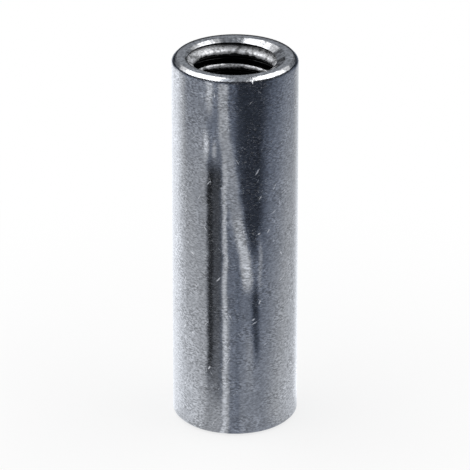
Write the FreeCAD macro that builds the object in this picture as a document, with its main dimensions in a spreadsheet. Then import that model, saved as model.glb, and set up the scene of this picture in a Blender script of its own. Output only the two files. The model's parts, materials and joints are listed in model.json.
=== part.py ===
"""Round coupling nut: a turned steel sleeve, tapped right through, that joins two threaded rods end to end.

Millimetres. The sleeve stands on one end, with its axis on +Z and the middle of its lower end at the origin.
"""
import FreeCAD, Part
import os
import Sketcher
from FreeCAD import Vector

NODE = "coupling_nut"

# Driving dimensions of an M10 nut, 13 mm across and 40 mm long.
SIZES = {
    "overall_length": 40.0,
    "wall_outside_thread": 1.5,
    "outer_chamfer": 0.45,
    "thread_diameter": 10.0,
    "thread_pitch": 1.5,
    "thread_angle": 60.0,
    "first_groove_depth": 0.7,
    "countersink_clearance": 0.2,
    "countersink_angle": 120.0,
}

# Radii and heights that follow from the driving dimensions, as expressions on the sheet.
# A hole drilled one pitch under the thread's diameter leaves the usual flat on the crests.
DRILL_RADIUS = "(sizes.thread_diameter - sizes.thread_pitch) / 2"
THREAD_RADIUS = "sizes.thread_diameter / 2"
MOUTH_RADIUS = f"({THREAD_RADIUS} + sizes.countersink_clearance)"
OUTER_RADIUS = f"({THREAD_RADIUS} + sizes.wall_outside_thread)"
COUNTERSINK_DEPTH = f"({MOUTH_RADIUS} - {DRILL_RADIUS}) / tan(sizes.countersink_angle * 1 deg / 2)"

# The groove is an eighth of a pitch wide at its root. Its section reaches inside the drilled hole, but not so far
# that neighbouring turns meet there. The turns go on past both ends, so that the groove runs out through the
# countersinks.
ROOT_WIDTH = "sizes.thread_pitch / 8"
REACH_PER_PITCH = 0.7
GROOVE_REACH = f"{REACH_PER_PITCH} * sizes.thread_pitch"
GROOVE_MOUTH = f"({ROOT_WIDTH} + 2 * {GROOVE_REACH} * tan(sizes.thread_angle * 1 deg / 2))"
TURNS_BELOW_TOP = "(ceil(sizes.overall_length / sizes.thread_pitch) + 1)"
GROOVE_DROP = f"({TURNS_BELOW_TOP} * sizes.thread_pitch + sizes.first_groove_depth - sizes.overall_length)"
GROOVE_HEIGHT = f"({TURNS_BELOW_TOP} + 2) * sizes.thread_pitch"

START, END = 1, 2
ORIGIN, HORIZONTAL_AXIS = (-1, 1), -1


def make_sheet(doc):
    sheet = doc.addObject("Spreadsheet::Sheet", "sizes")
    for row, (alias, value) in enumerate(SIZES.items(), start=1):
        sheet.set(f"A{row}", alias)
        sheet.set(f"B{row}", str(value))
        sheet.setAlias(f"B{row}", alias)
    doc.recompute()


def closed_sketch(body, name, plane_role, corners):
    """A closed outline of straight lines through rough corners, whose ends are joined."""
    sketch = body.newObject("Sketcher::SketchObject", name)
    plane = next(f for f in body.Origin.OriginFeatures if f.Role == plane_role)
    sketch.AttachmentSupport = (plane, "")
    sketch.MapMode = "FlatFace"
    points = [Vector(x, y, 0) for x, y in corners]
    for here, following in zip(points, points[1:] + points[:1]):
        sketch.addGeometry(Part.LineSegment(here, following))
    for line in range(len(points)):
        following = (line + 1) % len(points)
        sketch.addConstraint(Sketcher.Constraint("Coincident", line, END, following, START))
    return sketch


def dimension(sketch, kind, first, second, expression):
    """A distance between two points, first as roughly drawn and then bound to the sheet."""
    drawn = sketch.getPoint(*second) - sketch.getPoint(*first)
    distance = drawn.x if kind == "DistanceX" else drawn.y
    number = sketch.addConstraint(Sketcher.Constraint(kind, *first, *second, distance))
    sketch.setExpression(f"Constraints[{number}]", expression)


def turned_sleeve(body):
    """The half-section of the drilled, chamfered and countersunk sleeve, turned about the axis."""
    corners = [(4, 1), (5, 0), (6, 0), (7, 1), (7, 39), (6, 40), (5, 40), (4, 39)]
    lower_sink, lower_end, lower_chamfer, outside, upper_chamfer, upper_end, upper_sink, hole = range(8)
    sketch = closed_sketch(body, "sleeve_section", "XZ_Plane", corners)
    for line in (lower_end, upper_end):
        sketch.addConstraint(Sketcher.Constraint("Horizontal", line))
    for line in (outside, hole):
        sketch.addConstraint(Sketcher.Constraint("Vertical", line))
    sketch.addConstraint(Sketcher.Constraint("PointOnObject", lower_end, START, HORIZONTAL_AXIS))
    dimension(sketch, "DistanceX", ORIGIN, (lower_sink, START), DRILL_RADIUS)
    dimension(sketch, "DistanceX", ORIGIN, (outside, START), OUTER_RADIUS)
    dimension(sketch, "DistanceY", (lower_end, START), (upper_end, END), "sizes.overall_length")
    for mouth in ((lower_end, START), (upper_end, END)):
        dimension(sketch, "DistanceX", ORIGIN, mouth, MOUTH_RADIUS)
    for inner, outer in (((lower_end, END), (outside, START)), ((upper_end, START), (outside, END))):
        dimension(sketch, "DistanceX", inner, outer, "sizes.outer_chamfer")
    dimension(sketch, "DistanceY", (lower_chamfer, START), (lower_chamfer, END), "sizes.outer_chamfer")
    dimension(sketch, "DistanceY", (upper_chamfer, START), (upper_chamfer, END), "sizes.outer_chamfer")
    dimension(sketch, "DistanceY", (lower_sink, END), (lower_sink, START), COUNTERSINK_DEPTH)
    dimension(sketch, "DistanceY", (upper_sink, END), (upper_sink, START), COUNTERSINK_DEPTH)

    sleeve = body.newObject("PartDesign::Revolution", "turned_sleeve")
    sleeve.Profile = sketch
    sleeve.ReferenceAxis = (sketch, ["V_Axis"])
    sleeve.Angle = 360
    return sleeve


def tapped_thread(body):
    """The right-hand thread: a V groove with a flat root, wound along the whole hole."""
    corners = [(4, -4), (5, -3.5), (5, -3), (4, -2.5)]
    lower_flank, root, upper_flank, inside = range(4)
    sketch = closed_sketch(body, "groove_section", "YZ_Plane", corners)
    for line in (root, inside):
        sketch.addConstraint(Sketcher.Constraint("Vertical", line))
    sketch.addConstraint(Sketcher.Constraint("Equal", lower_flank, upper_flank))
    dimension(sketch, "DistanceX", ORIGIN, (root, START), THREAD_RADIUS)
    dimension(sketch, "DistanceX", (lower_flank, START), (lower_flank, END), GROOVE_REACH)
    dimension(sketch, "DistanceY", (root, START), (root, END), ROOT_WIDTH)
    dimension(sketch, "DistanceY", (inside, END), (inside, START), GROOVE_MOUTH)
    dimension(sketch, "DistanceY", (root, START), ORIGIN, f"{GROOVE_DROP} + {ROOT_WIDTH} / 2")

    thread = body.newObject("PartDesign::SubtractiveHelix", "tapped_thread")
    thread.Profile = sketch
    thread.ReferenceAxis = (sketch, ["V_Axis"])
    thread.Mode = "pitch-height-angle"
    thread.setExpression("Pitch", "sizes.thread_pitch")
    thread.setExpression("Height", GROOVE_HEIGHT)
    thread.LeftHanded = False
    return thread


def check(doc, body):
    for item in doc.Objects:
        if {"Invalid", "Error"} & set(item.State):
            raise RuntimeError(f"{item.Label} failed: {item.State}")
    shape = body.Shape
    if shape.isNull() or not shape.isValid() or len(shape.Solids) != 1:
        raise RuntimeError(f"{body.Label} is not one valid solid")


doc = FreeCAD.newDocument("round_coupling_nut")
make_sheet(doc)
body = doc.addObject("PartDesign::Body", NODE)
body.Label = NODE
body.Placement = FreeCAD.Placement()
sleeve = turned_sleeve(body)
doc.recompute()
thread = tapped_thread(body)
doc.recompute()
check(doc, body)
if not thread.Shape.Volume < sleeve.Shape.Volume:
    raise RuntimeError("the thread cut nothing from the sleeve")

os.makedirs("parts", exist_ok=True)
body.Shape.exportStep(f"parts/{NODE}.step")
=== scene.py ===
import json
from math import degrees, pi, radians, tan

import bmesh
import bpy
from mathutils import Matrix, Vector


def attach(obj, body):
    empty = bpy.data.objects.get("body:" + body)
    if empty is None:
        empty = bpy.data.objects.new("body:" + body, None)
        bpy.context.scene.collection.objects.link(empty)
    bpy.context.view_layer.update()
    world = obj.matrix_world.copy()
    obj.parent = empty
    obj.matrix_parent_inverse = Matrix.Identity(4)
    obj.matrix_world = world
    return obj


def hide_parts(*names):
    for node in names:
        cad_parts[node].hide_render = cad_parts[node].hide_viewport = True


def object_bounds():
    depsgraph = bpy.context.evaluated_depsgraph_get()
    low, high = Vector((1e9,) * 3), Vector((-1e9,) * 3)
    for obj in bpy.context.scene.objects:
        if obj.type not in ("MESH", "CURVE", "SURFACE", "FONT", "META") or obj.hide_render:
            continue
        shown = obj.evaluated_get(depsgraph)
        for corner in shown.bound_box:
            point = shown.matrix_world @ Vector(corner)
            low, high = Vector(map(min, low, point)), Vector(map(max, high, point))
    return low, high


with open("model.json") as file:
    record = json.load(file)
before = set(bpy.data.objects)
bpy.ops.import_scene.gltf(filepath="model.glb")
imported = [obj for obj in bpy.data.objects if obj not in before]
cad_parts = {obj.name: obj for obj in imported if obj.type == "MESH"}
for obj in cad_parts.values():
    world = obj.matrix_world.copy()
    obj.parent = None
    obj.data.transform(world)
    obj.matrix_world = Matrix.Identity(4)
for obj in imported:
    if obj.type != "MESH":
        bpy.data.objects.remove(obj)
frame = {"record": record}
cad_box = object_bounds()
bpy.context.scene.view_settings.view_transform = "Standard"

# The camera.
# The photograph looks down on the standing nut through a long lens, so its sides stay nearly parallel.
# This camera stands in the same place, turned to the nut and zoomed in until the nut fills the frame.
MM = 0.001
EYE = Vector((-2.1, -464.5, 227.0)) * MM
SENSOR_MM, LENS_MM = 36.0, 376.0
CLIP_START = 10 * MM
low, high = cad_box
middle = (low + high) / 2

bpy.ops.object.camera_add(location=EYE, rotation=(middle - EYE).to_track_quat("-Z", "Y").to_euler())
camera = bpy.context.object
camera.data.sensor_width = SENSOR_MM
camera.data.lens = LENS_MM
camera.data.clip_start = CLIP_START
bpy.context.scene.camera = camera

# The turned sleeve.
# A length of steel bar, faced off, chamfered outside and countersunk at both mouths on the lathe.
# It starts as a full bar: the tap below opens the hole right through.
length = high.z - low.z
outer_radius = (high.x - low.x) / 2
AROUND = 256
OUTER_CHAMFER = 0.45 * MM
MOUTH_RADIUS = 5.2 * MM
SINK_REACH = 1.3 * MM
SINK_HALF_ANGLE = radians(60)
EDGE_ROUND = 0.13 * MM
EDGE_ANGLE = radians(20)
EDGE_STEPS = 3


def select_faces(piece, chosen):
    """Selects just the faces of the piece in edit mode that chosen accepts."""
    mesh = bmesh.from_edit_mesh(piece.data)
    for face in mesh.faces:
        face.select_set(chosen(face))
    bmesh.update_edit_mesh(piece.data)


def is_end(face):
    """Whether a face looks straight up or down."""
    return abs(face.normal.z) > 0.99


bpy.ops.object.select_all(action="DESELECT")
bpy.ops.mesh.primitive_cylinder_add(vertices=AROUND, radius=outer_radius, depth=length, location=middle)
nut = bpy.context.object
nut.name = "round_nut"
bpy.ops.object.transform_apply(location=True, rotation=False, scale=False)

bpy.ops.object.mode_set(mode="EDIT")
bpy.ops.mesh.select_mode(type="FACE")
bpy.ops.mesh.select_all(action="DESELECT")
select_faces(nut, is_end)
bpy.ops.mesh.region_to_loop()
bpy.ops.mesh.bevel(offset=OUTER_CHAMFER, segments=1, affect="EDGES")
bpy.ops.mesh.select_mode(type="FACE")
select_faces(nut, is_end)
bpy.ops.mesh.inset(thickness=outer_radius - OUTER_CHAMFER - MOUTH_RADIUS)
bpy.ops.mesh.inset(thickness=SINK_REACH)
sink_drop = SINK_REACH / tan(SINK_HALF_ANGLE)
bpy.ops.transform.resize(value=(1, 1, 1 - 2 * sink_drop / length), center_override=middle)
bpy.ops.object.mode_set(mode="OBJECT")

# A lathe tool and the deburring after it leave every edge slightly rounded.
rounds = nut.modifiers.new("edge_rounds", "BEVEL")
rounds.limit_method = "ANGLE"
rounds.angle_limit = EDGE_ANGLE
rounds.width = EDGE_ROUND
rounds.segments = EDGE_STEPS
bpy.ops.object.modifier_apply(modifier=rounds.name)

# The tapped thread.
# A tap cuts an M10 thread right through: a right-hand 60 degree groove with rounded roots and crests.
# The tap is a body of its own, one pitch of its outline screwed along the axis, and is taken from the bar.
PITCH = 1.5 * MM
ROOT_RADIUS = 5.0 * MM
ROOT_WIDTH = PITCH / 8
ROOT_ROUND = 0.08 * MM
CREST_ROUND = 0.18 * MM
ROUND_STEPS = 4
FLANK_ANGLE = radians(30)
FIRST_GROOVE_DEPTH = 0.7 * MM
SPARE_TURNS = 2
TAP_STEPS = 96
TOLERANCE = MM / 1000
crest_radius = frame["record"]["mounts"][0]["dims"]["r_mm"] * MM
groove_mouth = ROOT_WIDTH + 2 * (ROOT_RADIUS - crest_radius) * tan(FLANK_ANGLE)
turns = int(length / PITCH) + 2 * SPARE_TURNS
first_groove = high.z - FIRST_GROOVE_DEPTH - (turns - SPARE_TURNS) * PITCH

# The outline as points, each with its radius and its height from the middle of the groove.
tap_outline = [
    (crest_radius, -PITCH / 2),
    (crest_radius, -groove_mouth / 2),
    (ROOT_RADIUS, -ROOT_WIDTH / 2),
    (ROOT_RADIUS, ROOT_WIDTH / 2),
    (crest_radius, groove_mouth / 2),
    (crest_radius, PITCH / 2),
]
bpy.ops.mesh.primitive_plane_add(size=MM, location=(0, crest_radius, first_groove - PITCH / 2))
tap = bpy.context.object
bpy.ops.object.transform_apply(location=True, rotation=False, scale=False)
bpy.ops.object.mode_set(mode="EDIT")
bpy.ops.mesh.select_mode(type="VERT")
bpy.ops.mesh.merge(type="CENTER")
for here, following in zip(tap_outline, tap_outline[1:]):
    step = (0, following[0] - here[0], following[1] - here[1])
    bpy.ops.mesh.extrude_region_move(TRANSFORM_OT_translate={"value": step})
for at_root, corner_round in ((True, ROOT_ROUND), (False, CREST_ROUND)):
    outline = bmesh.from_edit_mesh(tap.data)
    for corner in outline.verts:
        is_bend = len(corner.link_edges) == 2
        corner.select_set(is_bend and (corner.co.y > (ROOT_RADIUS + crest_radius) / 2) == at_root)
    bmesh.update_edit_mesh(tap.data)
    bpy.ops.mesh.bevel(offset=corner_round, segments=ROUND_STEPS, affect="VERTICES")
bpy.ops.object.mode_set(mode="OBJECT")

winding = tap.modifiers.new("turns", "SCREW")
winding.axis = "Z"
winding.angle = 2 * pi
winding.screw_offset = PITCH
winding.iterations = turns
winding.steps = winding.render_steps = TAP_STEPS
bpy.ops.object.modifier_apply(modifier=winding.name)

# The turns are joined to each other, and each open end is closed by a fan of faces beyond the bar.
bpy.ops.object.mode_set(mode="EDIT")
bpy.ops.mesh.select_all(action="SELECT")
bpy.ops.mesh.remove_doubles(threshold=TOLERANCE)
bpy.ops.mesh.fill_holes(sides=0)
bpy.ops.mesh.select_mode(type="FACE")
select_faces(tap, lambda face: len(face.verts) > 4)
bpy.ops.mesh.poke()
bpy.ops.mesh.select_all(action="SELECT")
bpy.ops.mesh.normals_make_consistent(inside=False)
bpy.ops.object.mode_set(mode="OBJECT")


def cut_away(piece, tool):
    """Takes the tool's body out of the piece, and removes the tool."""
    bpy.context.view_layer.objects.active = piece
    cut = piece.modifiers.new("cut", "BOOLEAN")
    cut.operation = "DIFFERENCE"
    cut.solver = "MANIFOLD"
    cut.object = tool
    bpy.ops.object.modifier_apply(modifier=cut.name)
    bpy.data.objects.remove(tool)


cut_away(nut, tap)

# Handling has left one small nick across the upper chamfer, on the camera's side.
NICK_TURN = radians(15.8)
NICK_SIZE = Vector((0.17, 0.2, 0.9)) * MM
CHAMFER_SLOPE = radians(45)
bpy.ops.mesh.primitive_uv_sphere_add(segments=32, ring_count=16, radius=0.5)
nick = bpy.context.object
bpy.ops.transform.resize(value=NICK_SIZE)
bpy.ops.transform.rotate(value=CHAMFER_SLOPE, orient_axis="X", center_override=(0, 0, 0))
chamfer_middle = outer_radius - OUTER_CHAMFER / 2
bpy.ops.transform.translate(value=(0, -chamfer_middle, high.z - OUTER_CHAMFER / 2))
bpy.ops.transform.rotate(value=-NICK_TURN, orient_axis="Z", center_override=(0, 0, 0))
bpy.ops.object.transform_apply(location=True, rotation=True, scale=True)
cut_away(nut, nick)

SMOOTH_ANGLE = radians(30)
bpy.ops.object.select_all(action="DESELECT")
nut.select_set(True)
bpy.ops.object.shade_smooth_by_angle(angle=SMOOTH_ANGLE)


def resize_mesh(factor):
    """Makes the selected piece larger or smaller about the origin, in its mesh."""
    bpy.ops.transform.resize(value=(factor, factor, factor), center_override=(0, 0, 0))
    bpy.ops.object.transform_apply(location=False, rotation=False, scale=True)


# Flat faces stay flat right up to the rounds. The modifier passes over faces as small as these, so it is
# applied to the nut a thousand times as large.
resize_mesh(1 / MM)
evened = nut.modifiers.new("even_normals", "WEIGHTED_NORMAL")
evened.keep_sharp = True
bpy.ops.object.modifier_apply(modifier=evened.name)
resize_mesh(MM)

# The steel's finish.
# Bare steel with a faint blue cast. The turned faces keep rings from the lathe, and tumbling has left the
# wall satin, with short scratches that lie every way. The thread is torn at its start, and painted shade
# darkens its roots, the inner sides of its crests and all of it further in.
STEEL_TONE = 0.82
WALL_ROUGHNESS = 0.16
# Heights and depths of the relief, in millimetres.
SCRATCH_DEPTH = 0.003
TICK_DEPTH = 0.01
MARK_DEPTH = 0.025
GRAIN_HEIGHT = 0.012
WAVE_HEIGHT = 0.008
RING_HEIGHT = 0.004
TEAR_HEIGHT = 0.06
CROWN_DROP = 0.07
ROLL_DROP = 0.05
# Where one part of the surface gives way to the next: from and to, as radii in millimetres.
THREAD_EDGE = (5.02, 5.15)
MOUTH_EDGE = (5.1, 5.25)
CROWN_SPAN = (5.55, 6.05)
ROLL_SPAN = (6.28, 6.48)
WALL_EDGE = (6.4, 6.48)
# The same as depths in millimetres: under a countersink's cone, and under the nearer end for the painted
# shade in the thread.
SINK_EDGE = (0.02, 0.06)
PAINTED_SHADE_SPREAD = (1.3, 2.2)
PAINTED_SHADE_COVER = (2.8, 3.4)
# The painted shade's edge on the flanks, as radii in millimetres: at the mouth and further in, and half its
# blur.
PAINTED_SHADE_AT_MOUTH, PAINTED_SHADE_INSIDE, PAINTED_SHADE_BLUR = 4.95, 4.4, 0.05
# The painted shade's ragged edge along a crest, in turns from the middle of the groove on the side of the
# nearer end.
RAGGED_EDGE = (0.5, 0.57)
# The ways that the scratches of each kind lie, in degrees.
FINE_TURNS = (8, 38, 71, 137)
TICK_TURNS = (20, 52, 98, 128, 155)
DEEP_TURNS = (25, 48, 62, 121)
# The single marks, in millimetres: their width and, for each, its middle, across from the camera's side and
# up from the foot, its turn in degrees and its length.
MARK_WIDTH = 0.22
MARKS = (
    (2.3, 29.7, 58, 1.1),
    (3.6, 22.9, 52, 0.7),
    (2.5, 22.8, 20, 0.5),
    (-4.8, 20.1, -25, 0.7),
    (-4.4, 16.6, -40, 0.6),
    (2.6, 15.1, 75, 0.8),
    (1.9, 13.2, 40, 0.5),
    (-2.8, 7.6, 60, 0.6),
)


class Field:
    """A value that varies over a surface. Arithmetic on it adds Math nodes to its material."""

    def __init__(self, tree, socket):
        self.tree = tree
        self.socket = socket

    def node(self, kind, settings, inputs, output=0):
        """Adds a node of any type: its settings first, then the values or links of its sockets."""
        added = self.tree.nodes.new(kind)
        for name, value in settings.items():
            setattr(added, name, value)
        for name, value in inputs.items():
            if isinstance(value, Field):
                self.tree.links.new(value.socket, added.inputs[name])
            else:
                added.inputs[name].default_value = value
        return Field(self.tree, added.outputs[output])

    def __add__(self, other):
        return self.node("ShaderNodeMath", {"operation": "ADD"}, {0: self, 1: other})

    def __sub__(self, other):
        return self.node("ShaderNodeMath", {"operation": "SUBTRACT"}, {0: self, 1: other})

    def __rsub__(self, other):
        return self.node("ShaderNodeMath", {"operation": "SUBTRACT"}, {0: other, 1: self})

    def __mul__(self, other):
        return self.node("ShaderNodeMath", {"operation": "MULTIPLY"}, {0: self, 1: other})

    def __pow__(self, other):
        return self.node("ShaderNodeMath", {"operation": "POWER"}, {0: self, 1: other})

    __radd__ = __add__
    __rmul__ = __mul__


def new_tree(name):
    """A new material that is made of nodes, and its tree of them."""
    material = bpy.data.materials.new(name)
    material.use_nodes = True
    return material, material.node_tree


def axes(vector):
    """The three parts of a vector."""
    return [vector.node("ShaderNodeSeparateXYZ", {}, {0: vector}, axis) for axis in "XYZ"]


def bearing(sideways, ahead):
    """The angle of a direction, in radians from straight ahead."""
    return sideways.node("ShaderNodeMath", {"operation": "ARCTAN2"}, {0: sideways, 1: ahead})


def rise(value, start, end):
    """0 below start, 1 above end and smooth between them."""
    limits = {"Value": value, "From Min": start, "From Max": end}
    return value.node("ShaderNodeMapRange", {"interpolation_type": "SMOOTHSTEP"}, limits)


def ramp(value, start, end):
    """0 below start, 1 above end and straight between them."""
    limits = {"Value": value, "From Min": start, "From Max": end}
    return value.node("ShaderNodeMapRange", {}, limits)


def noise(vector, scale, detail):
    """Soft noise from 0 to 1 with a number of finer layers."""
    return vector.node("ShaderNodeTexNoise", {}, {"Vector": vector, "Scale": scale, "Detail": detail})


def scratches(surface, turn, long, thin, share):
    """Straight scratches that all lie one way, in a share of a stretched pattern's cells, some deeper."""
    along = surface.node("ShaderNodeMapping", {"vector_type": "TEXTURE"},
                         {"Vector": surface, "Rotation": (0, 0, radians(turn)), "Scale": (long, thin, 1)})
    distance = along.node("ShaderNodeTexVoronoi", {"voronoi_dimensions": "2D"},
                          {"Vector": along, "Scale": 1.0})
    cell = Field(distance.tree, distance.socket.node.outputs["Color"])
    lot, deep = axes(cell)[:2]
    line = 1 - rise(distance, 0.02, 0.2)
    drawn = 1 - rise(lot, share, share + 0.01)
    return line * drawn * (0.15 + 0.85 * deep * deep)


def mark(unrolled, across, upward, turn, long):
    """One scratch of a given length, by its middle on the unrolled wall and its turn from level."""
    here = unrolled.node("ShaderNodeMapping", {"vector_type": "TEXTURE"},
                         {"Vector": unrolled, "Location": (across, upward, 0),
                          "Rotation": (0, 0, radians(turn)), "Scale": (long / 2, MARK_WIDTH / 2, 1)})
    distance = here.node("ShaderNodeVectorMath", {"operation": "LENGTH"}, {0: here}, "Value")
    return 1 - rise(distance, 0.2, 1)


steel, steel_tree = new_tree("turned_steel")
coordinates = Field(steel_tree, steel_tree.nodes.new("ShaderNodeTexCoord").outputs["Object"])
place = coordinates.node("ShaderNodeVectorMath", {"operation": "SCALE"}, {0: coordinates, "Scale": 1 / MM})
x, y, z = axes(place)
radius = (x * x + y * y) ** 0.5
end_depth = z.node("ShaderNodeMath", {"operation": "MINIMUM"}, {0: z, 1: length / MM - z})

# Parts of the surface: the thread, the countersinks and the wall. The end faces and chamfers are the rest.
under_sink = end_depth - (MOUTH_RADIUS / MM - radius) * (1 / tan(SINK_HALF_ANGLE))
threaded = rise(under_sink, *SINK_EDGE) * (1 - rise(radius, *THREAD_EDGE))
in_sink = (1 - threaded) * (1 - rise(radius, *MOUTH_EDGE))
on_wall = rise(radius, *WALL_EDGE)

# Wear: fine scratches, short ticks that are stronger in battered places, and the deepest marks.
unrolled = place.node("ShaderNodeCombineXYZ", {}, {"X": bearing(x, 0 - y) * (outer_radius / MM), "Y": z})
surface = place.node("ShaderNodeMix", {"data_type": "VECTOR"}, {"Factor": on_wall, 4: place, 5: unrolled}, 1)
battered = rise(noise(place, scale=0.6, detail=1), 0.42, 0.62)
fine = sum(scratches(surface, turn, long=2.2, thin=0.12, share=0.3) for turn in FINE_TURNS)
ticks = sum(scratches(surface, turn, long=1.9, thin=0.45, share=0.1) for turn in TICK_TURNS)
ticks = ticks * (0.1 + 0.9 * battered)
deeper = sum(scratches(surface, turn, long=2.4, thin=0.4, share=0.02) for turn in DEEP_TURNS)
marks = deeper + sum(mark(unrolled, *each) for each in MARKS)

# The bar's own unevenness: a grain that is longer round it than along it, flecks, broad waves and patches.
round_bar = place.node("ShaderNodeVectorMath", {"operation": "MULTIPLY"}, {0: place, 1: (0.8, 0.8, 1.7)})
grain = noise(round_bar, scale=4.5, detail=1)
speckle = rise(noise(round_bar, scale=4.0, detail=2), 0.3, 0.7)
flecks = (0.4 + 0.6 * battered) * rise(grain, 0.55, 0.68)
waves = noise(place, scale=0.9, detail=1)
patches = noise(place, scale=0.35, detail=2)

# Tool marks: rings from the lathe, chatter round the countersinks and steel torn by the tap.
RINGS_PER_MM, RING_BREAKS_PER_MM = 8.0, 0.3
across_rings = place.node("ShaderNodeCombineXYZ", {}, {
    "X": radius * RINGS_PER_MM, "Y": z * RINGS_PER_MM, "Z": x * RING_BREAKS_PER_MM})
rings = place.node("ShaderNodeTexNoise", {"noise_dimensions": "4D"}, {
    "Vector": across_rings, "W": y * RING_BREAKS_PER_MM, "Scale": 1.0, "Detail": 2.0})
per_radius = radius ** -1
spokes = place.node("ShaderNodeCombineXYZ", {}, {"X": x * per_radius, "Y": y * per_radius})
chatter = rise(noise(spokes, scale=9.0, detail=2), 0.42, 0.7)
torn = noise(place, scale=1.8, detail=3)

# Painted shade: it lies in the roots and on the inner side of each crest, reaches further up the flanks
# deeper in, and then covers all.
turns_down = ((length - FIRST_GROOVE_DEPTH) / MM - z) * (MM / PITCH) - bearing(x, y) * (1 / (2 * pi))
downward = turns_down.node("ShaderNodeMath", {"operation": "FRACT"}, {0: turns_down})
upper_half = rise(z, length / MM / 2 - 0.1, length / MM / 2 + 0.1)
inward = upper_half * downward + (1 - upper_half) * (1 - downward)
clear_of_painted_crest_shade = 1 - rise(inward + 0.4 * (torn - 0.5), *RAGGED_EDGE)
painted_shade_edge = PAINTED_SHADE_AT_MOUTH - (PAINTED_SHADE_AT_MOUTH - PAINTED_SHADE_INSIDE) * rise(end_depth, *PAINTED_SHADE_SPREAD)
clear_of_painted_root_shade = 1 - rise(radius, painted_shade_edge - PAINTED_SHADE_BLUR, painted_shade_edge + PAINTED_SHADE_BLUR)
clear_of_painted_shade = clear_of_painted_root_shade * clear_of_painted_crest_shade * (1 - rise(end_depth, *PAINTED_SHADE_COVER))
painted_thread_shade = threaded * (1 - clear_of_painted_shade)
scuffed = threaded * clear_of_painted_shade

# How light the steel is, with painted shade in the thread, the tears and the chatter darkening it.
speckled = (0.46 + 0.36 * battered) * (speckle - 0.5)
scraped_bright = 0.4 * fine + 0.7 * ticks + 0.8 * marks
tooled = (1 - on_wall) * (0.4 * (rings - 0.5) + 0.9 * (torn - 0.5))
bare_tone = STEEL_TONE + 0.2 * patches + speckled + scraped_bright + tooled + 0.4 * scuffed
torn_dark = scuffed * rise(torn, 0.48, 0.62)
tone = bare_tone * (1 - 0.92 * painted_thread_shade) * (1 - 0.7 * torn_dark) * (1 - in_sink * (0.03 + 0.4 * chatter))
steel_colour = frame["record"]["materials"][0]["base_color"]
colour = place.node("ShaderNodeVectorMath", {"operation": "SCALE"}, {0: steel_colour, "Scale": tone})

# How rough and how bare it is.
scraped_rough = (1 - threaded) * (0.05 * fine + 0.1 * ticks + 0.3 * marks)
roughness = WALL_ROUGHNESS + 0.08 * (patches - 0.5) + scraped_rough + 0.2 * scuffed
dulled = (1 - threaded) * (0.13 * flecks + 0.12 * ticks + 0.4 * marks)
metallic = 1 - dulled - 0.6 * scuffed

# Its relief. The end faces fall away slightly towards the rim, and the chamfers towards the wall.
worn = GRAIN_HEIGHT * grain * (0.4 + 0.6 * battered) + WAVE_HEIGHT * waves
worn = worn - SCRATCH_DEPTH * fine - TICK_DEPTH * ticks - MARK_DEPTH * marks
ringed = (1 - 0.7 * on_wall) * RING_HEIGHT * rings
crown = CROWN_DROP * ramp(radius, *CROWN_SPAN) ** 2
roll = ROLL_DROP * ramp(radius, *ROLL_SPAN) ** 2
outside = (0.4 + 0.6 * on_wall) * worn + ringed - crown - roll
relief = (1 - threaded) * outside + threaded * TEAR_HEIGHT * torn
bump = place.node("ShaderNodeBump", {}, {"Height": relief, "Distance": MM, "Strength": 1.0})

shader = steel_tree.nodes["Principled BSDF"]
shader.inputs["Anisotropic"].default_value = 0.5
shader.inputs["Anisotropic Rotation"].default_value = 0.25
finish = {"Base Color": colour, "Roughness": roughness, "Metallic": metallic, "Normal": bump}
for name, field in finish.items():
    steel_tree.links.new(field.socket, shader.inputs[name])

nut.data.materials.clear()
nut.data.materials.append(steel)
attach(nut, "root")
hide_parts("coupling_nut")

# The floor and the white behind it.
# A plain white sheet that takes a soft shadow near the nut and runs out into pure white further off.
# The world round it is white where it is seen or reflected, and lights the rest as a dim room does.
FLOOR_SIZE = 6.0
FLOOR_WHITE = 0.85
NEAR_FILL = 0.75
NEAR, FAR = 12 * MM, 60 * MM
ROOM_LIGHT = 0.35


def seen(tree):
    """1 on a ray that shows the background: from the camera, in a mirror image or through glass."""
    path = tree.nodes.new("ShaderNodeLightPath")
    camera_ray, glossy_ray, through_ray = (
        Field(tree, path.outputs[name]) for name in ("Is Camera Ray", "Is Glossy Ray", "Is Transmission Ray"))
    return 1 - (1 - camera_ray) * (1 - glossy_ray) * (1 - through_ray)


bpy.ops.mesh.primitive_plane_add(size=FLOOR_SIZE)
floor = bpy.context.object
floor.name = "floor"
sheet, sheet_tree = new_tree("white_sheet")
sheet_tree.nodes.remove(sheet_tree.nodes["Principled BSDF"])
on_sheet = Field(sheet_tree, sheet_tree.nodes.new("ShaderNodeTexCoord").outputs["Object"])
from_nut = on_sheet.node("ShaderNodeVectorMath", {"operation": "LENGTH"}, {0: on_sheet}, "Value")
matt = on_sheet.node("ShaderNodeBsdfDiffuse", {}, {"Color": (FLOOR_WHITE, FLOOR_WHITE, FLOOR_WHITE, 1)})
pure_white = on_sheet.node("ShaderNodeEmission", {}, {"Color": (1, 1, 1, 1), "Strength": 1.0})
fill = seen(sheet_tree) * (NEAR_FILL + (1 - NEAR_FILL) * rise(from_nut, NEAR, FAR))
white = on_sheet.node("ShaderNodeMixShader", {}, {0: fill, 1: matt, 2: pure_white})
sheet_tree.links.new(white.socket, sheet_tree.nodes["Material Output"].inputs["Surface"])
floor.data.materials.append(sheet)

world = bpy.data.worlds.new("white_room")
bpy.context.scene.world = world
world.use_nodes = True
room_strength = ROOM_LIGHT + (1 - ROOM_LIGHT) * seen(world.node_tree)
background = world.node_tree.nodes["Background"]
background.inputs["Color"].default_value = (1, 1, 1, 1)
world.node_tree.links.new(room_strength.socket, background.inputs["Strength"])

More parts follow.
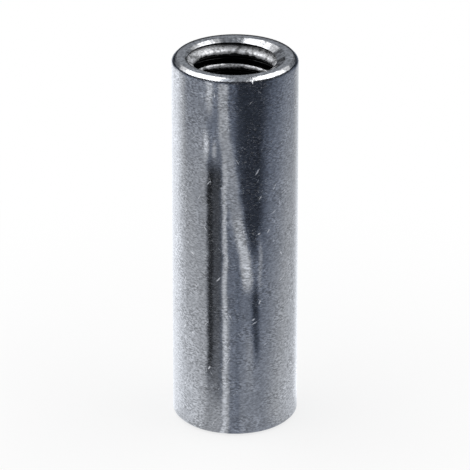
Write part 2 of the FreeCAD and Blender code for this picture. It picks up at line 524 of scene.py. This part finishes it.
# The light tent.
# Bare metal shows whatever stands round it, so a drum of thin paper does, which only mirror images show. Its
# bands draw the streaks down the wall, its hem lines the chamfer, and the end face sees over its low back.
TENT_RADIUS = 10 * MM
TENT_SIDES = 128
TENT_FOOT = 0.02 * MM
TENT_FRONT, TENT_BACK = 45 * MM, 38.9 * MM
TENT_GREY = 0.04
SOFT_END = 1.5
# How far the bands' edges waver, in degrees, and how fast, for each millimetre upwards.
WAVER, WAVER_RATE = 6, 0.3
SHADE_TINT = (0.78, 0.93, 1.26, 1)
LIGHT_TINT = (0.97, 1.0, 1.05, 1)
LIGHT_FROM = 0.6
# Left of the middle the shades lose this share of their blue, between these edges and below this head.
PLAIN_SHARE = 0.7
PLAIN_LEFT, PLAIN_RIGHT, PLAIN_HEAD = (-50, -40), (-22, -14), (27, 31)
# Each band: its left and right edges in degrees round the tent from the camera's side, half their blur, its
# lean in degrees for each millimetre upwards, its foot and head in millimetres, and its grey at each.
BANDS = {
    "centre_grey": (-60, 3, 4, 0, -3, 46, 0.32, 0.14),
    "black_front": (3, 200, 5, 0, -3, 46, 0.42, -0.02),
    "upper_black": (5, 37, 9, 0, 21, 46, 0.055, 0.047),
    "right_dim": (40, 200, 9, 0, -3, 46, 0.48, 0.04),
    "lower_black": (20.5, 30, 3, 0, 7, 15.5, 0.1, 0.04),
    "gap_black": (18, 28, 2.5, 0, 19, 24, 0.06, 0.05),
    "side_streak": (29.5, 34, 1.5, 0, 15, 20, 0.47, 0.47),
    "streak_tail": (13, 23, 3, 0, 3.5, 9.5, 0.42, 0.42),
    "upper_streak": (-4, 13, 4, -1.7, 21.5, 46, 0.42, 0.58),
    "leaning_streak": (10.5, 22, 3.5, -1.7, 15.5, 23, 1.0, 0.6),
    "right_grey": (62, 200, 26, 0, -3, 46, 0.82, 0.26),
    "right_white": (108, 200, 18, 0, -3, 46, 1.4, 0.6),
    "left_grey": (-200, -18.5, 4, 0, -3, 46, 0.88, 0.25),
    "left_shade": (-52, -30, 9, 0, -3, 26, 0.72, 0.45),
    "left_white": (-200, -82, 16, 0, -3, 46, 1.2, 1.25),
    "upper_gap": (-36, -18.5, 3, 0, 29.5, 46, 0.26, 0.3),
    "outer_streak": (-36, -29, 3, 0, 34.5, 46, 0.58, 1.8),
    "outer_spot": (-40, -34, 2, 0, 30.3, 31.6, 1.5, 1.5),
    "inner_spot": (-28, -24, 2, 0, 29.6, 30.8, 1.2, 1.2),
    "outer_foot": (-38, -18, 4, 0, -3, 5.5, 0.62, 0.3),
    "outer_black": (-36.3, -25, 3, 0, 4.8, 29.5, 0.05, 0.025),
    "outer_dim": (-28, -16.5, 2, 0, 3, 29.5, 0.16, 0.08),
    "outer_low": (-28, -16.5, 2, 0, 3, 11, 0.28, 0.15),
    "streak_foot": (-11, -7.2, 1.5, 0, -3, 13, 0.62, 0.38),
    "inner_streak": (-15.5, -10.3, 1.5, 0, -3, 30, 0.95, 0.65),
    "inner_head": (-20.5, -9, 2.5, 0, 32, 46, 0.58, 0.68),
    "back_dim": (-176, -146, 7, 0, -3, 46, 0.35, 0.2),
    "back_black": (150, 170, 6, 0, -3, 46, 0.12, 0.04),
    "left_hem": (-200, -95, 8, 0, 38.2, 47, 0.05, 0.05),
    "right_hem": (95, 200, 8, 0, 38.2, 47, 0.05, 0.05),
    "hem": (-200, 200, 2, 0, 39.8, 47, 0.03, 0.03),
}


def glowing_paper(piece, name):
    """Gives a studio piece a paper that glows and that only mirror images show, and returns the glow."""
    paper, tree = new_tree(name)
    tree.nodes.remove(tree.nodes["Principled BSDF"])
    glow = tree.nodes.new("ShaderNodeEmission")
    tree.links.new(glow.outputs["Emission"], tree.nodes["Material Output"].inputs["Surface"])
    piece.data.materials.append(paper)
    piece.visible_camera = False
    piece.visible_diffuse = False
    piece.visible_shadow = False
    piece.visible_transmission = False
    return glow


bpy.ops.mesh.primitive_circle_add(
    vertices=TENT_SIDES, radius=TENT_RADIUS, location=(0, 0, TENT_FOOT), fill_type="NGON")
tent = bpy.context.object
tent.name = "light_tent"
bpy.ops.object.mode_set(mode="EDIT")
bpy.ops.mesh.region_to_loop()
bpy.ops.mesh.extrude_edges_move(TRANSFORM_OT_translate={"value": (0, 0, TENT_FRONT)})
bpy.ops.mesh.select_all(action="SELECT")
slant = Vector((0, TENT_FRONT - TENT_BACK, 2 * TENT_RADIUS)).normalized()
bpy.ops.mesh.bisect(plane_co=(0, 0, (TENT_FRONT + TENT_BACK) / 2), plane_no=slant,
                    threshold=TOLERANCE, clear_outer=True)
bpy.ops.object.mode_set(mode="OBJECT")

# The bands are laid over each other in turn, with edges that waver as paper does.
tent_glow = glowing_paper(tent, "tent_paper")
tent_tree = tent_glow.id_data
position = Field(tent_tree, tent_tree.nodes.new("ShaderNodeNewGeometry").outputs["Position"])
tent_x, tent_y, tent_z = axes(position)
upward = tent_z * (1 / MM)
wavering = {"W": upward * WAVER_RATE, "Scale": 1.0}
waver = upward.node("ShaderNodeTexNoise", {"noise_dimensions": "1D"}, wavering)
around = bearing(tent_x, 0 - tent_y) * degrees(1) + WAVER * (waver - 0.5)
light = TENT_GREY
for left, right, blur, lean, foot, head, foot_grey, head_grey in BANDS.values():
    across = around - lean * (upward - foot)
    inside = rise(across, left - blur, left + blur) * (1 - rise(across, right - blur, right + blur))
    inside = inside * rise(upward, foot - SOFT_END, foot + SOFT_END)
    inside = inside * (1 - rise(upward, head - SOFT_END, head + SOFT_END))
    band_grey = foot_grey + (head_grey - foot_grey) / (head - foot) * (upward - foot)
    light = light + inside * (band_grey - light)
plain = PLAIN_SHARE * rise(around, *PLAIN_LEFT) * (1 - rise(around, *PLAIN_RIGHT))
plain = plain * (1 - rise(upward, *PLAIN_HEAD))
tinted = (1 - rise(light, 0, LIGHT_FROM)) * (1 - plain)
tints = {"Factor": tinted, 6: LIGHT_TINT, 7: SHADE_TINT}
tint = light.node("ShaderNodeMix", {"data_type": "RGBA"}, tints, 2)
tent_tree.links.new(tint.socket, tent_glow.inputs["Color"])
tent_tree.links.new(light.socket, tent_glow.inputs["Strength"])

# Plain grey boards before, behind and above the tent, which the end face, chamfer and countersink show.
# Each: its middle and its size, as width and height, in millimetres, its tilt from lying flat, and its grey.
BOARD_TINT = (0.95, 1.0, 1.08, 1)
BOARDS = {
    "front": ((0, -20, 52), (40, 20), 90, 0.03),
    "low_back": ((0, 60, 38), (100, 32), 90, 0.04),
    "low_left": ((-56, 62, 52), (68, 72), 90, 0.25),
    "low_right": ((56, 62, 52), (68, 72), 90, 0.25),
    "high_back": ((0, 60, 177), (44, 246), 90, 0.35),
    "overhead_front": ((65, -175, 395), (150, 250), 0, 0.33),
    "overhead_side": ((-67, -175, 395), (114, 250), 0, 0.8),
    "overhead_back": ((18, 125, 395), (139, 350), 0, 0.33),
}
for name, (board_middle, (wide, tall), tilt, board_grey) in BOARDS.items():
    bpy.ops.mesh.primitive_plane_add(
        size=1, location=Vector(board_middle) * MM, rotation=(radians(tilt), 0, 0))
    board = bpy.context.object
    board.name = name + "_board"
    board.scale = (wide * MM, tall * MM, 1)
    board_glow = glowing_paper(board, board.name)
    board_glow.inputs["Color"].default_value = BOARD_TINT
    board_glow.inputs["Strength"].default_value = board_grey

# The lamps.
# Two broad soft boxes hang over the nut, left and right of it, with a gap between them.
BOX_HEIGHT = 400 * MM
BOX_DEPTH = 500 * MM
BOX_RADIANCE = 2.0
for name, start, end in (("left_box", -520 * MM, -35 * MM), ("right_box", 130 * MM, 560 * MM)):
    bpy.ops.object.light_add(type="AREA", location=((start + end) / 2, 0, BOX_HEIGHT))
    box = bpy.context.object
    box.name = name
    box.data.shape = "RECTANGLE"
    box.data.size = end - start
    box.data.size_y = BOX_DEPTH
    box.data.energy = BOX_RADIANCE * pi * box.data.size * box.data.size_y
    box.visible_camera = False
